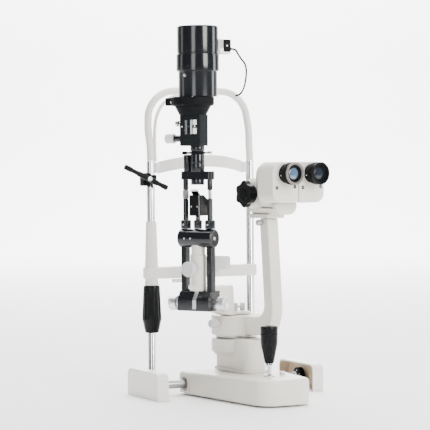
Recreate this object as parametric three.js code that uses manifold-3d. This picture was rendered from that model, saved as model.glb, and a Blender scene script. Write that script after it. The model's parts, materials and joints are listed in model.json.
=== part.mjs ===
// Slit lamp (biomicroscope): rails, cross-slide base, lift column, microscope on its swivel arm,
// illumination tower on its own swivel arm, and the patient's headrest frame.
// Millimetres, +Z up, +Y from the doctor to the patient, +X to the doctor's right, z = 0 the table top.
import * as THREE from 'three';
import { mergeVertices } from 'three/addons/utils/BufferGeometryUtils.js';
import Module from 'manifold-3d';

const wasm = await Module(); wasm.setup();

// ---- driving dimensions -------------------------------------------------
const ORIGIN = [0, -3.5];     // plan offset of the whole instrument, so that the box stands centred on the origin
const RAIL_X = 162.4;            // middle of each rail cover from the centre plane
const COVER_L = 139, COVER_W = 23, COVER_H = 51, COVER_T = 3;
const AXLE_Y = 69.6, AXLE_Z = 21.5, AXLE_R = 8;
const WHEEL_R = 18, WHEEL_TEETH = 20;
const BASE_Z0 = 3.2, BASE_Z1 = 45;
const SWIVEL = [8, 40];          // common axis of both arms
const PED_TOP = 108.5;
const STICK = [0, -109];         // joystick ball joint in plan
const SCOPE_YAW = 10;            // degrees, microscope arm at rest
const LAMP_YAW = -57;            // degrees, illumination arm at rest
const TOWER_R = 135;             // swivel axis to lamp tower
const TILT_Z = 299, TILT_R = 17; // tower tilt axis height and barrel radius
const OPTIC_Z = 379, EYE_Z = 416, EYE_X = 29, POD_X = 29.6, POD_PIVOT_Z = 371;
const POST_X = 106.7, POST_Y = 173, POST_R = 7.6;
const LAMP_X = 3.2;              // lamp housing's offset from the tower's axis
const ARCH_LEAN = 12;            // the arch leans this far toward the patient at its top
const GAP = 0.3;

// ---- helpers --------------------------------------------------------------
const V = (x, y, z) => new THREE.Vector3(x, y, z);
function clean(g) {
  if (g.userData.welded) return g;
  g = g.clone(); g.deleteAttribute('normal'); g.deleteAttribute('uv');
  g = mergeVertices(g, 1e-4);
  const k = g.index.array, keep = [];
  for (let i = 0; i < k.length; i += 3) if (k[i] !== k[i + 1] && k[i + 1] !== k[i + 2] && k[i] !== k[i + 2]) keep.push(k[i], k[i + 1], k[i + 2]);
  g.setIndex(keep); g.userData.welded = true;
  return g;
}
function toM(g) {
  const c = clean(g);
  return new wasm.Manifold(new wasm.Mesh({ numProp: 3,
    vertProperties: new Float32Array(c.attributes.position.array),
    triVerts: new Uint32Array(c.index.array) }));
}
function fromM(m) {
  const k = m.getMesh(), g = new THREE.BufferGeometry();
  const p = new Float32Array(k.numVert * 3);
  for (let i = 0; i < k.numVert; i++) for (let j = 0; j < 3; j++) p[3 * i + j] = k.vertProperties[k.numProp * i + j];
  g.setAttribute('position', new THREE.BufferAttribute(p, 3));
  g.setIndex(new THREE.BufferAttribute(new Uint32Array(k.triVerts), 1));
  g.userData.welded = true;
  return g;
}
const cut = (a, ...b) => fromM(b.reduce((m, x) => m.subtract(toM(x)), toM(a)));
const join = (a, ...b) => fromM(b.reduce((m, x) => m.add(toM(x)), toM(a)));
// box between two corners
const box = (x0, x1, y0, y1, z0, z1) =>
  clean(new THREE.BoxGeometry(x1 - x0, y1 - y0, z1 - z0)).translate((x0 + x1) / 2, (y0 + y1) / 2, (z0 + z1) / 2);
// turned piece about Z from [radius, height] pairs
function turn(profile, seg = 24) {
  seg = Math.max(10, Math.round(seg * 0.3) * 2);
  return clean(new THREE.LatheGeometry(profile.map(p => new THREE.Vector2(p[0], p[1])), seg)).rotateX(Math.PI / 2);
}
// turned solid whose pairs start and end off the axis: closed to the axis here
function turned(profile, seg = 24) {
  const q = [[0, profile[0][1]], ...profile, [0, profile[profile.length - 1][1]]];
  return turn(q, seg);
}
const rod = (r, z0, z1, seg = 20) => turned([[r, z0], [r, z1]], seg);
const alongX = g => g.rotateY(Math.PI / 2);       // +Z becomes +X
const alongY = g => g.rotateX(-Math.PI / 2);      // +Z becomes +Y
const alongNY = g => g.rotateX(Math.PI / 2);      // +Z becomes -Y
const alongNX = g => g.rotateY(-Math.PI / 2);     // +Z becomes -X
const at = (g, x, y, z) => g.translate(x, y, z);
function outline(pts) {
  const s = new THREE.Shape(); pts.forEach((p, i) => i ? s.lineTo(p[0], p[1]) : s.moveTo(p[0], p[1])); s.closePath(); return s;
}
// prism of a plan outline from z0 to z1, with an optional rounded edge
function prism(shape, z0, z1, bevel = 0, curve = 8, steps = 1) {
  const s = Array.isArray(shape) ? outline(shape) : shape;
  return clean(new THREE.ExtrudeGeometry(s, { depth: z1 - z0 - 2 * bevel, bevelEnabled: bevel > 0, bevelThickness: bevel,
    bevelSize: bevel, bevelOffset: -bevel, bevelSegments: steps, curveSegments: curve })).translate(0, 0, z0 + bevel);
}
// outline in the Y-Z plane extruded along X from x0 to x1
function prismX(pts, x0, x1, bevel = 0, curve = 8) {
  const g = prism(pts, x0, x1, bevel, curve);
  const m = new THREE.Matrix4().set(0, 0, 1, 0, 1, 0, 0, 0, 0, 1, 0, 0, 0, 0, 0, 1);
  return g.applyMatrix4(m);
}
// outline in the X-Z plane extruded toward -Y from y = -d0 to y = -d1
function prismNY(shape, d0, d1, bevel = 0, curve = 8) {
  const g = prism(shape, d0, d1, bevel, curve);
  const m = new THREE.Matrix4().set(1, 0, 0, 0, 0, 0, -1, 0, 0, 1, 0, 0, 0, 0, 0, 1);
  return g.applyMatrix4(m);
}
function roundRect(x0, x1, y0, y1, r) {
  const s = new THREE.Shape();
  s.moveTo(x0 + r, y0); s.lineTo(x1 - r, y0); s.absarc(x1 - r, y0 + r, r, -Math.PI / 2, 0);
  s.lineTo(x1, y1 - r); s.absarc(x1 - r, y1 - r, r, 0, Math.PI / 2);
  s.lineTo(x0 + r, y1); s.absarc(x0 + r, y1 - r, r, Math.PI / 2, Math.PI);
  s.lineTo(x0, y0 + r); s.absarc(x0 + r, y0 + r, r, Math.PI, 1.5 * Math.PI);
  return s;
}
// polygon with its corners rounded: entries [x, y, r]
function softPoly(pts, n = 4) {
  const out = [], N = pts.length;
  for (let i = 0; i < N; i++) {
    const [x, y, r = 0] = pts[i], a = pts[(i + N - 1) % N], b = pts[(i + 1) % N];
    if (!r) { out.push([x, y]); continue; }
    const ua = [a[0] - x, a[1] - y], ub = [b[0] - x, b[1] - y];
    const la = Math.hypot(...ua), lb = Math.hypot(...ub);
    ua[0] /= la; ua[1] /= la; ub[0] /= lb; ub[1] /= lb;
    const half = Math.acos(ua[0] * ub[0] + ua[1] * ub[1]) / 2;
    const d = Math.min(r / Math.tan(half), la * 0.49, lb * 0.49);
    const p0 = [x + ua[0] * d, y + ua[1] * d], p1 = [x + ub[0] * d, y + ub[1] * d];
    for (let k = 0; k <= n; k++) {
      const t = k / n, m = 1 - t;
      out.push([m * m * p0[0] + 2 * m * t * x + t * t * p1[0], m * m * p0[1] + 2 * m * t * y + t * t * p1[1]]);
    }
  }
  return out.filter((p, i) => { const q = out[(i + 1) % out.length]; return Math.hypot(p[0] - q[0], p[1] - q[1]) > 0.05; });
}
function tube(points, r, sides = 12, steps = 40) {
  const c = new THREE.CatmullRomCurve3(points.map(p => V(...p)), false, 'centripetal');
  const s = new THREE.Shape();
  for (let i = 0; i < sides; i++) {
    const a = 2 * Math.PI * i / sides; const x = r * Math.cos(a), y = r * Math.sin(a);
    i ? s.lineTo(x, y) : s.moveTo(x, y);
  }
  s.closePath();
  return clean(new THREE.ExtrudeGeometry(s, { steps, bevelEnabled: false, extrudePath: c }));
}

const LX0 = -34.7, LY0 = -33.6;  // end of the relief on the plug, in plan
// route of the lamp lead, from the plug on the lamp cap back to the headrest arch
const LEAD = [[LX0, LY0, 645], [LX0 + 8, LY0 + 0.5, 643.6], [-17, -24, 637.5], [-2.8, -8, 629.9], [17.9, 16, 621.1], [34.1, 42, 611.2],
  [46.8, 68, 601.1], [60.6, 100, 587.9], [71, 130, 577], [77.5, 155, 570.5], [80, 176.9, 567.7]];
const LEAD_R = 1.8;

// ---- materials --------------------------------------------------------------
const mat = (color, roughness, metalness) => new THREE.MeshStandardMaterial({ color, roughness, metalness });
const WHITE = mat(0xe4e2db, 0.42, 0), WHITE2 = mat(0xeceae4, 0.4, 0), BLACK = mat(0x141618, 0.35, 0);
const MATTE = mat(0x1c1e20, 0.7, 0), CHROME = mat(0xc9ccd0, 0.15, 1), STEEL = mat(0x9ea2a6, 0.35, 1);
const GREY = mat(0x9fa2a2, 0.5, 0), GLASS = mat(0x8fa7bd, 0.05, 0.1), RUBBER = mat(0x101112, 0.85, 0);
const CUP = mat(0xc4c6c6, 0.5, 0);

const root = new THREE.Group(); root.position.set(ORIGIN[0], ORIGIN[1], 0);
function add(parent, name, geometry, material) {
  const m = new THREE.Mesh(geometry, material); m.name = name; parent.add(m); return m;
}

// ---- rails fixed to the table ------------------------------------------------
function cover(side) {
  const x0 = RAIL_X - COVER_W / 2, x1 = RAIL_X + COVER_W / 2;
  const body = prismX(softPoly([[0, 0, 0], [COVER_L, 0, 0], [COVER_L, COVER_H, 12], [0, COVER_H, 12]], 4), x0, x1, 0);
  const hollow = prismX(softPoly([[COVER_T, -1, 0], [COVER_L - COVER_T, -1, 0], [COVER_L - COVER_T, COVER_H - COVER_T, 9], [COVER_T, COVER_H - COVER_T, 9]], 4), x0 - 5, x1 - COVER_T, 0);
  const g = cut(body, hollow);
  return side > 0 ? g : mirrorX(g);
}
function mirrorX(g) {
  const h = g.clone().applyMatrix4(new THREE.Matrix4().makeScale(-1, 1, 1));
  const ix = h.index;
  if (ix) { for (let i = 0; i < ix.count; i += 3) { const t = ix.getX(i); ix.setX(i, ix.getX(i + 1)); ix.setX(i + 1, t); } return h; }
  const c = clean(h); const k = c.index;
  for (let i = 0; i < k.count; i += 3) { const t = k.getX(i); k.setX(i, k.getX(i + 1)); k.setX(i + 1, t); }
  return c;
}
add(root, 'rail_cover_left', cover(-1), WHITE2);
add(root, 'rail_cover_right', cover(1), WHITE2);
const PITCH = 2 * Math.PI * (WHEEL_R - 0.8) / WHEEL_TEETH;
function rack(side) {
  const y0 = COVER_T + 1.2, y1 = COVER_L - COVER_T - 1.2, pts = [[y0, 0], [y1, 0]];
  const n = Math.floor((y1 - y0 - 2) / PITCH), s0 = (y0 + y1) / 2 - n * PITCH / 2;
  pts.push([y1, 1.6]);
  for (let i = n - 1; i >= 0; i--) {
    const a = s0 + i * PITCH;
    pts.push([a + PITCH * 0.95, 1.6], [a + PITCH * 0.68, 3.1], [a + PITCH * 0.37, 3.1], [a + PITCH * 0.1, 1.6]);
  }
  pts.push([y0, 1.6]);
  const g = prismX(pts, RAIL_X - 10, RAIL_X + COVER_W / 2 - COVER_T - GAP - 1);
  return side > 0 ? g : mirrorX(g);
}
add(root, 'rack_left', rack(-1), STEEL);
add(root, 'rack_right', rack(1), STEEL);

// ---- axle and toothed wheels ---------------------------------------------------
add(root, 'axle_shaft', at(alongX(turned([[AXLE_R - 1, -166], [AXLE_R, -165], [AXLE_R, 165], [AXLE_R - 1, 166]], 24)), 0, AXLE_Y, AXLE_Z), CHROME);
function wheel(xc) {
  const s = new THREE.Shape(), N = WHEEL_TEETH;
  for (let i = 0; i < N; i++) {
    const a = 2 * Math.PI * i / N, d = 2 * Math.PI / N;
    const P = [[WHEEL_R - 2.1, a], [WHEEL_R - 2.1, a + 0.34 * d], [WHEEL_R, a + 0.5 * d], [WHEEL_R, a + 0.84 * d]];
    P.forEach(([r, t], k) => (i || k) ? s.lineTo(r * Math.cos(t), r * Math.sin(t)) : s.moveTo(r * Math.cos(t), r * Math.sin(t)));
  }
  s.closePath();
  const h = new THREE.Path(); h.absarc(0, 0, AXLE_R + GAP, 0, 2 * Math.PI, true); s.holes.push(h);
  return at(alongX(prism(s, -4.5, 4.5, 0, 8)), xc, AXLE_Y, AXLE_Z);
}
add(root, 'wheel_left', wheel(-158), MATTE);
add(root, 'wheel_right', wheel(158), MATTE);

// ---- cross-slide base -------------------------------------------------------------
{
  const pts = softPoly([[-50, -185, 36], [50, -185, 36], [86, 56, 30], [86, 100, 10], [-86, 100, 10], [-86, 56, 30]], 5);
  let b = prism(pts, BASE_Z0, BASE_Z1, 4, 6, 2);
  const bore = at(alongX(rod(AXLE_R + GAP + 0.1, -110, 110, 24)), 0, AXLE_Y, AXLE_Z);
  // the top rises gently toward the doctor
  const p = b.attributes.position;
  for (let i = 0; i < p.count; i++) {
    const f = (p.getZ(i) - BASE_Z0) / (BASE_Z1 - BASE_Z0);
    p.setZ(i, p.getZ(i) + f * ((70 - p.getY(i)) * 0.02 - 1));
  }
  const collar = at(turned([[10, 44], [10, 49.4], [9, 50.2]], 24), STICK[0], STICK[1], 0);
  const stem = at(turned([[4.5, 20], [4.5, 44], [8, 52]], 20), STICK[0], STICK[1], 0);
  b = cut(join(b, collar), bore, stem);
  add(root, 'base_housing', b, WHITE);
  add(root, 'glide_pad', at(rod(15, 0.2, BASE_Z0 - GAP, 24), 0, -150, 0), MATTE);
  // pedestal: squared housing with a round shoulder round the lift column
  const foot = prism(softPoly([[-18, -41, 8], [36, -41, 8], [42, 78, 10], [-24, 78, 10]], 3), BASE_Z1 + 1.7, BASE_Z1 + 7, 0);
  const tower = prism(softPoly([[-14.5, -36, 7], [32, -36, 7], [38, 75, 8], [-20, 75, 8]], 3), BASE_Z1 + 5, PED_TOP, 2, 4, 1);
  const shoulder = at(turned([[40, 76], [47, 84], [47, PED_TOP - 2.5]], 36), SWIVEL[0], SWIVEL[1], 0);
  const well = at(rod(20.5, 50, PED_TOP + 5, 28), SWIVEL[0], SWIVEL[1], 0);
  add(root, 'pedestal', cut(join(foot, tower, shoulder), well), WHITE);
}

// ---- joystick ------------------------------------------------------------------------
add(root, 'joystick_stem', at(turned([[2.6, 36], [2.8, 64], [5.6, 64.4], [6.2, 66], [6.2, 72]], 16), STICK[0], STICK[1], 0), CHROME);
add(root, 'joystick_grip', at(turned([[7.8, 72.3], [8.6, 75], [14.8, 104], [15.4, 108], [15.6, 125], [16, 136.5], [15.2, 139.2], [6, 139.8]], 24), STICK[0], STICK[1], 0), BLACK);

// ---- lift column ------------------------------------------------------------------------
add(root, 'lift_column', at(turned([[20, 51], [20, PED_TOP + 0.5], [40, PED_TOP + 0.8], [40, 113], [12, 113], [12, 150.8], [8, 151], [8, 157], [3.2, 157.2], [3.2, 172]], 32), SWIVEL[0], SWIVEL[1], 0), STEEL);

// ==== microscope side (local frame: swivel axis at the origin, -Y toward the doctor) ====
const scope = new THREE.Group(); scope.position.set(SWIVEL[0], SWIVEL[1], 0); scope.rotation.z = SCOPE_YAW * Math.PI / 180; root.add(scope);
{
  const hub = turned([[45, 113.3], [47, 115.5], [47, 148.5], [45, 150.5]], 36);
  const arm = prismX(softPoly([[-15, 116, 0], [-112, 117, 40], [-129, 162, 30], [-115, 333.8, 4], [-90, 333.8, 4],
    [-104, 151, 22], [-15, 150, 0]], 5), -12.5, 12.5, 1.5, 5);
  add(scope, 'microscope_arm', cut(join(hub, arm), rod(12.4, 100, 170, 28)), WHITE);
  add(scope, 'arm_lock_knob', at(alongNX(turned([[3, 46.9], [3, 51], [7.6, 51.3], [7.6, 66.5], [6.6, 68]], 20)), 0, -10, 137), GREY);
  // focus block: a bowl-shaped underside, with a lip that rises in front of the body and under the prism housings
  const bowl = top => {
    const r = 18, f = 7, zc = 358, p0 = Math.asin(Math.max(0, (zc - top) / r)), side = [];
    if (top > zc) side.push([f + r, top]);
    for (let i = 0; i <= 6; i++) { const p = p0 + (Math.PI / 2 - p0) * i / 6; side.push([f + r * Math.cos(p), zc - r * Math.sin(p)]); }
    return [...side.map(p => [-p[0], p[1]]), ...side.slice().reverse()];
  };
  add(scope, 'microscope_platform', join(prism(roundRect(-20, 20, -126, -68, 4), 334.2, 342, 1, 4, 1),
    prismNY(bowl(352.8), 74, 156), prismNY(bowl(362.4), 145.4, 156)), WHITE);
  add(scope, 'platform_screw', at(alongNX(turned([[2, 12.9], [2, 16], [5.5, 16.2], [5.5, 25], [4.7, 26]], 18)), 0, -101, 326), GREY);
  const head = prismNY(softPoly([[-34, 366, 14], [-22, 353.1, 10], [22, 353.1, 10], [34, 366, 14], [34, 434, 20], [-34, 434, 20]], 4), 107.3, 145, 2, 4);
  add(scope, 'microscope_body', join(head, prismNY(softPoly([[-37, 353.1, 12], [37, 353.1, 12], [37, 408, 16], [-37, 408, 16]], 4), 76, 112, 1.5, 4)), WHITE);
  const lobes = new THREE.Shape();
  for (let i = 0; i < 36; i++) { const a = 2 * Math.PI * i / 36, r = 23.2 + 1.7 * Math.cos(6 * a); i ? lobes.lineTo(r * Math.cos(a), r * Math.sin(a)) : lobes.moveTo(r * Math.cos(a), r * Math.sin(a)); }
  lobes.closePath();
  const knob = at(alongNX(prism(lobes, 44, 57, 1.5, 8, 1)), 0, -100, OPTIC_Z);
  const spindle = at(alongNX(rod(6, 37.3, 46, 16)), 0, -100, OPTIC_Z);
  add(scope, 'magnification_knob', join(knob, spindle), BLACK);
  add(scope, 'objective_barrel', at(alongNY(turn([[14.3, 62], [24, 62], [25, 64], [25, 75.7], [14.3, 75.7], [14.3, 62]], 28)), 0, 0, OPTIC_Z), BLACK);
  add(scope, 'objective_lens', at(alongNY(turned([[8, 64], [14, 66], [14, 72]], 24)), 0, 0, OPTIC_Z), GLASS);
  for (const [side, s] of [['left', -1], ['right', 1]]) {
    // outline stays clear of its neighbour as it turns about its pivot at POD_X, POD_PIVOT_Z
    const pod = softPoly([[s * (POD_X + 29.2), 363, 18], [s * (POD_X + 29.2), 437, 20], [s * (POD_X - 28.9), 437, 6], [s * (POD_X - 28.9), 363, 8]], 5);
    if (s > 0) pod.reverse();
    add(scope, 'prism_housing_' + side, prismNY(pod, 145.4, 193, 2, 4), WHITE2);
    add(scope, 'eyepiece_tube_' + side, at(alongNY(turned([[17.5, 193.3], [17.5, 203], [19.6, 203.3], [19.6, 205.8]], 28)), s * EYE_X, 0, EYE_Z), BLACK);
    add(scope, 'dioptre_ring_' + side, at(alongNY(turn([[13.6, 206.1], [20.2, 206.1], [20.4, 208], [20.4, 219], [19.4, 221], [16, 221], [13.6, 214.4], [13.6, 206.1]], 28)), s * EYE_X, 0, EYE_Z), MATTE);
    add(scope, 'eye_lens_' + side, at(alongNY(turned([[13.1, 207], [13.1, 212.4], [9, 214.2]], 24)), s * EYE_X, 0, EYE_Z), GLASS);
  }
}

// ==== illumination side (local frame: swivel axis at the origin, -Y out to the tower) ====
const lamp = new THREE.Group(); lamp.position.set(SWIVEL[0], SWIVEL[1], 0); lamp.rotation.z = LAMP_YAW * Math.PI / 180; root.add(lamp);
const TY = -TOWER_R;
{
  const hub = turned([[26, 151.3], [27, 152.3], [27, 155.5], [26, 156.5]], 32);
  const web = prismX(softPoly([[-15, 151.3, 0], [-40, 151.3, 12], [-113.4, 168, 0], [-113.4, 206, 4], [-31, 208, 5], [-26, 158, 3], [-15, 156.5, 0]], 4), -13, 13, 2, 4);
  add(lamp, 'illumination_arm', cut(join(hub, web), rod(8.4, 140, 180, 24)), WHITE);
  add(lamp, 'hub_lock_knob', at(alongX(turned([[2, 3.6], [2, 7], [7.6, 7.3], [7.6, 15.5], [6.6, 17]], 18)).rotateZ(Math.PI * 31 / 180), 0, 0, 165), GREY);
  const block = prismX(softPoly([[-113.8, 167, 0], [-156, 167, 2], [-156, 188, 2], [-146, 203, 2], [-113.8, 203, 0]], 2), -33, 33, 1.5, 3);
  add(lamp, 'tower_block', join(block, box(22, 32, TY - 8, TY + 8, 195, 281.6), box(-32, -22, TY - 8, TY + 8, 195, 281.6)), BLACK);
  for (const [side, s] of [['left', -1], ['right', 1]]) {
    const g = turned([[9, 33.3], [9, 43], [13.2, 43.3], [13.6, 44.5], [13.6, 57.8], [12.4, 59]], 30);
    add(lamp, 'slit_width_knob_' + side, at(s > 0 ? alongX(g) : alongNX(g), 0, TY, 180), CHROME);
  }
  const col = at(turned([[14.6, 203.3], [14.6, 268], [12.6, 270], [12.6, 281.6]], 24), 0, TY, 0);
  add(lamp, 'tower_column', join(col, at(alongNY(turned([[2, 140], [2, 158], [4.5, 158.3], [4.5, 163], [3.8, 164]], 16)), 0, 0, 211.5)), WHITE);
  add(lamp, 'tilt_barrel', at(alongX(turned([[15.6, -35.5], [17, -34], [17, 34], [15.6, 35.5]], 32)), 0, TY, TILT_Z), BLACK);
  add(lamp, 'column_lock_knob', at(alongNY(turned([[9, 150], [9, 160], [13.2, 160.3], [13.8, 161.5], [13.8, 171.5], [12.6, 173]], 28)), 0, 0, 244), GREY);
  // --- tilting tower ---
  for (const [side, s] of [['left', -1], ['right', 1]])
    add(lamp, 'tower_rod_' + side, at(turned([[9.3, 316.3], [9.3, 331.5], [4.9, 332], [4.9, 371], [s > 0 ? 3 : 5.3, 371.4], [s > 0 ? 3 : 5.3, 387], [4.9, 387.4], [4.9, 405.6]], 18), s * 25.8, TY, 0), CHROME);
  const post = at(turned([[7.6, 316.3], [7.6, 331.5], [4.2, 332], [4.2, 341]], 18), 0, TY, 0);
  const seat = prismX([[TY - 13, 340], [TY + 13, 340], [TY + 13, 356], [TY - 9, 378], [TY - 13, 378]], -10, 10);
  // cheeks that stand either side of the mirror
  const cheek = [[TY - 13, 340], [TY + 22, 340], [TY + 22, 367], [TY + 4, 378], [TY - 13, 378]];
  const cheekL = prismX(cheek, -10.4, -7.8), cheekR = prismX(cheek, 7.8, 10.4);
  add(lamp, 'mirror_holder', join(post, seat, cheekL, cheekR), BLACK);
  add(lamp, 'mirror', prismX([[TY - 15, 386.9], [TY + 15.5, 356.4], [TY + 17.2, 358.1], [TY - 13.3, 388.6]], -7.5, 7.5), GLASS);
  const bracket = prism(softPoly([[-34, TY - 8.5, 8], [34, TY - 8.5, 8], [34, TY + 8.5, 8], [-34, TY + 8.5, 8]], 4), 405.9, 421, 0);
  add(lamp, 'projection_tube', cut(join(bracket, at(rod(12.2, 396.4, 410, 28), 0, TY, 0), at(rod(12.8, 418, 452, 28), 0, TY, 0),
    at(rod(7.6, 418, 451.4, 20), -21, TY, 0)), at(rod(9.5, 390, 401, 24), 0, TY, 0)), BLACK);
  const ring = at(turned([[13.4, 452.3], [14, 453], [14, 456.4], [13.4, 457]], 28), 0, TY, 0);
  const pinL = at(alongNX(rod(2, 12, 32, 10)), 0, TY, 454.7), pinR = at(alongX(rod(2, 12, 30, 10)), 0, TY, 454.7);
  add(lamp, 'slit_rotation_ring', join(ring, pinL, pinR), MATTE);
  add(lamp, 'slit_housing', join(prism(roundRect(-23, 20.5, TY - 25, TY + 5, 2.5), 467.3, 524, 1.2, 3, 1),
    at(rod(12.8, 457.3, 470, 28), 0, TY, 0), at(alongNX(rod(6, 20, 42, 18)), 0, TY - 10, 481),
    at(turned([[23, 522], [25, 524.3], [33, 539.5]], 32), -3, TY - 10, 0)), MATTE);
  add(lamp, 'slit_length_lever', at(alongNX(turned([[2, 23.3], [2, 33], [5.5, 33.3], [5.5, 38], [4.5, 39]], 16)), 0, TY - 10, 508), CHROME);
  add(lamp, 'slit_length_knob', at(alongNX(turned([[8.2, 42.3], [8.8, 43.3], [8.8, 58.8], [7.8, 60]], 26)), 0, TY - 10, 481), CHROME);
  const disc = at(turned([[36.5, 539.8], [38.8, 542], [38.8, 554.5], [37.8, 555.8]], 36), -3, TY - 10, 0);
  const tab = prism(softPoly([[-58, TY - 18, 3], [-20, TY - 30, 0], [-20, TY + 10, 0], [-58, TY - 2, 3]], 2), 541, 555.5);
  add(lamp, 'aperture_disc', join(disc, tab), BLACK);
  add(lamp, 'lamp_housing', at(turned([[35.3, 556.2], [35.3, 602.6], [38.9, 603], [38.9, 633.4]], 36), LAMP_X, TY - 2, 0), BLACK);
  const A = Math.PI / 3;
  const cap = turned([[36, 633.7], [36, 636.4], [37.4, 636.8], [37.4, 683.6], [36, 685]], 36);
  add(lamp, 'lamp_cap', at(join(cap, box(28, 47.7, -12, 12, 634.6, 661.6).rotateZ(A)), LAMP_X, TY - 2, 0), BLACK);
  add(lamp, 'lamp_plug', at(join(box(48, 64, -11, 11, 635, 661.4), at(alongX(rod(3.6, 60, 70, 14)), 0, 0, 645)).rotateZ(A), LAMP_X, TY - 2, 0), MATTE);
}

// ==== patient's headrest frame ==========================================================
for (const [side, s] of [['left', -1], ['right', 1]]) {
  add(root, 'headrest_post_' + side, at(turned([[20, 0], [20, 5], [18, 7], [POST_R, 7], [POST_R, 441]], 24), s * POST_X, POST_Y, 0), CHROME);
}
{
  const arch = []; const R = 56, top = 576, x = POST_X;
  const lean = z => POST_Y + ARCH_LEAN * Math.min(1, Math.max(0, (z - 455) / 75));
  arch.push([-x, POST_Y, 441.4], [-x, POST_Y, 448], [-x, lean(470), 470], [-x - 1.5, lean(500), 500]);
  for (let i = 0; i <= 6; i++) { const a = Math.PI - i * Math.PI / 12, z = top - R + R * Math.sin(a); arch.push([-x + R + R * Math.cos(a), lean(z), z]); }
  arch.push([-20, lean(top), top], [20, lean(top), top]);
  for (let i = 0; i <= 6; i++) { const a = Math.PI / 2 - i * Math.PI / 12, z = top - R + R * Math.sin(a); arch.push([x - R + R * Math.cos(a), lean(z), z]); }
  arch.push([x + 1.5, lean(500), 500], [x, lean(470), 470], [x, POST_Y, 448], [x, POST_Y, 441.4]);
  add(root, 'headrest_arch', tube(arch, 7, 10, 36), WHITE2);
  // forehead band: a strap that bows toward the examiner and rises in the middle, as rings of four corners
  const n = 14, corner = [], tri = [];
  for (let i = 0; i <= n; i++) {
    const t = -1 + 2 * i / n, x = 91 * t, y = POST_Y - 26 * (1 - t * t), z = 12.5 * (1 - t * t), k = 4 * i;
    corner.push(x, y - 1.6, 416.5 + z, x, y + 1.6, 416.5 + z, x, y + 1.6, 439.5 + z, x, y - 1.6, 439.5 + z);
    if (i < n) for (let j = 0; j < 4; j++) { const l = (j + 1) % 4; tri.push(k + j, k + l, k + 4 + l, k + j, k + 4 + l, k + 4 + j); }
  }
  tri.push(0, 2, 1, 0, 3, 2, 4 * n, 4 * n + 1, 4 * n + 2, 4 * n, 4 * n + 2, 4 * n + 3);
  const strap = new THREE.BufferGeometry();
  strap.setAttribute('position', new THREE.BufferAttribute(new Float32Array(corner), 3)); strap.setIndex(tri); strap.userData.welded = true;
  const lug = s => box(s > 0 ? 89.5 : -98.7, s > 0 ? 98.7 : -89.5, POST_Y - 4, POST_Y + 4, 418, 438);
  add(root, 'forehead_band', join(strap, lug(-1), lug(1)), WHITE2);
}
add(root, 'lamp_lead', tube(LEAD, LEAD_R, 8, 36), RUBBER);
// chin rest: bar on the two posts, cup, sleeve, and the fluted height knob under the sleeve
{
  const bar = prism(roundRect(-122, 117.5, POST_Y - 13, POST_Y + 13, 9), 214.5, 237, 0, 5);
  const h2 = at(rod(POST_R + GAP, 200, 250, 20), POST_X, POST_Y, 0);
  const stalk = prism(roundRect(-12, 12, POST_Y - 50, POST_Y - 8, 5), 219, 230, 0, 4);
  const lower = at(turned([[13.3, 202], [13.3, 206], [12, 216]], 24), -POST_X, POST_Y, 0);
  const upper = at(turned([[12.6, 236], [12.6, 237.3], [10.4, 318], [9.8, 325]], 24), -POST_X, POST_Y, 0);
  const h3 = at(rod(POST_R + GAP, 190, 330, 20), -POST_X, POST_Y, 0);
  add(root, 'chinrest_bar', cut(join(bar, stalk, lower, upper), h3, h2), WHITE2);
  const cup = prism(softPoly([[-38, 108, 20], [38, 108, 20], [38, 152, 14], [-38, 152, 14]], 4), 230.3, 256, 2, 4, 1);
  const dish = clean(new THREE.SphereGeometry(60, 32, 20)).translate(0, 128, 302);
  add(root, 'chin_cup', cut(cup, dish), CUP);
  const s = new THREE.Shape(), F = 10;
  for (let i = 0; i < F * 4; i++) { const a = 2 * Math.PI * i / (F * 4), r = 17.8 + 0.9 * Math.cos(F * a); i ? s.lineTo(r * Math.cos(a), r * Math.sin(a)) : s.moveTo(r * Math.cos(a), r * Math.sin(a)); }
  s.closePath();
  const grip = prism(s, 134, 199, 1.2, 6, 1);
  const cone = turned([[12.8, 111], [13.4, 113], [17.6, 134], [17.6, 137]], 28), cap = turned([[15.2, 196], [15.2, 201.5]], 28);
  add(root, 'chinrest_height_knob', at(cut(join(grip, cone, cap), rod(POST_R + GAP, 90, 230, 20)), -POST_X, POST_Y, 0), BLACK);
}
// fixation target arm on the left post
{
  const ringC = at(rod(11.2, 397, 414, 24), -POST_X, POST_Y, 0);
  const clamp = cut(join(ringC, box(-127.5, -112.5, POST_Y - 12, POST_Y + 6, 393, 418)), at(rod(POST_R + GAP, 380, 440, 20), -POST_X, POST_Y, 0));
  const pin = at(alongNY(rod(3, 0, 7, 14)), -121.7, POST_Y - 11.5, 407);
  add(root, 'fixation_clamp', join(clamp, pin), MATTE);
  const a = V(-171, 148, 430.2), b = V(-84, 148, 388.9), len = a.distanceTo(b), half = len / 2;
  const g = turned([[4.6, -half], [5, -half + 1], [5, -half + 15], [4.2, -half + 16], [4.2, -half + 30], [5.2, -half + 31], [5.2, half - 22], [4.4, half - 21], [4.4, half - 11], [5, half - 10], [5, half - 1], [4.6, half]], 16);
  const q = new THREE.Quaternion().setFromUnitVectors(V(0, 0, 1), b.clone().sub(a).normalize());
  g.applyQuaternion(q); const c = a.clone().add(b).multiplyScalar(0.5); g.translate(c.x, c.y, c.z);
  add(root, 'fixation_arm', g, BLACK);
}

export default root;
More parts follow.
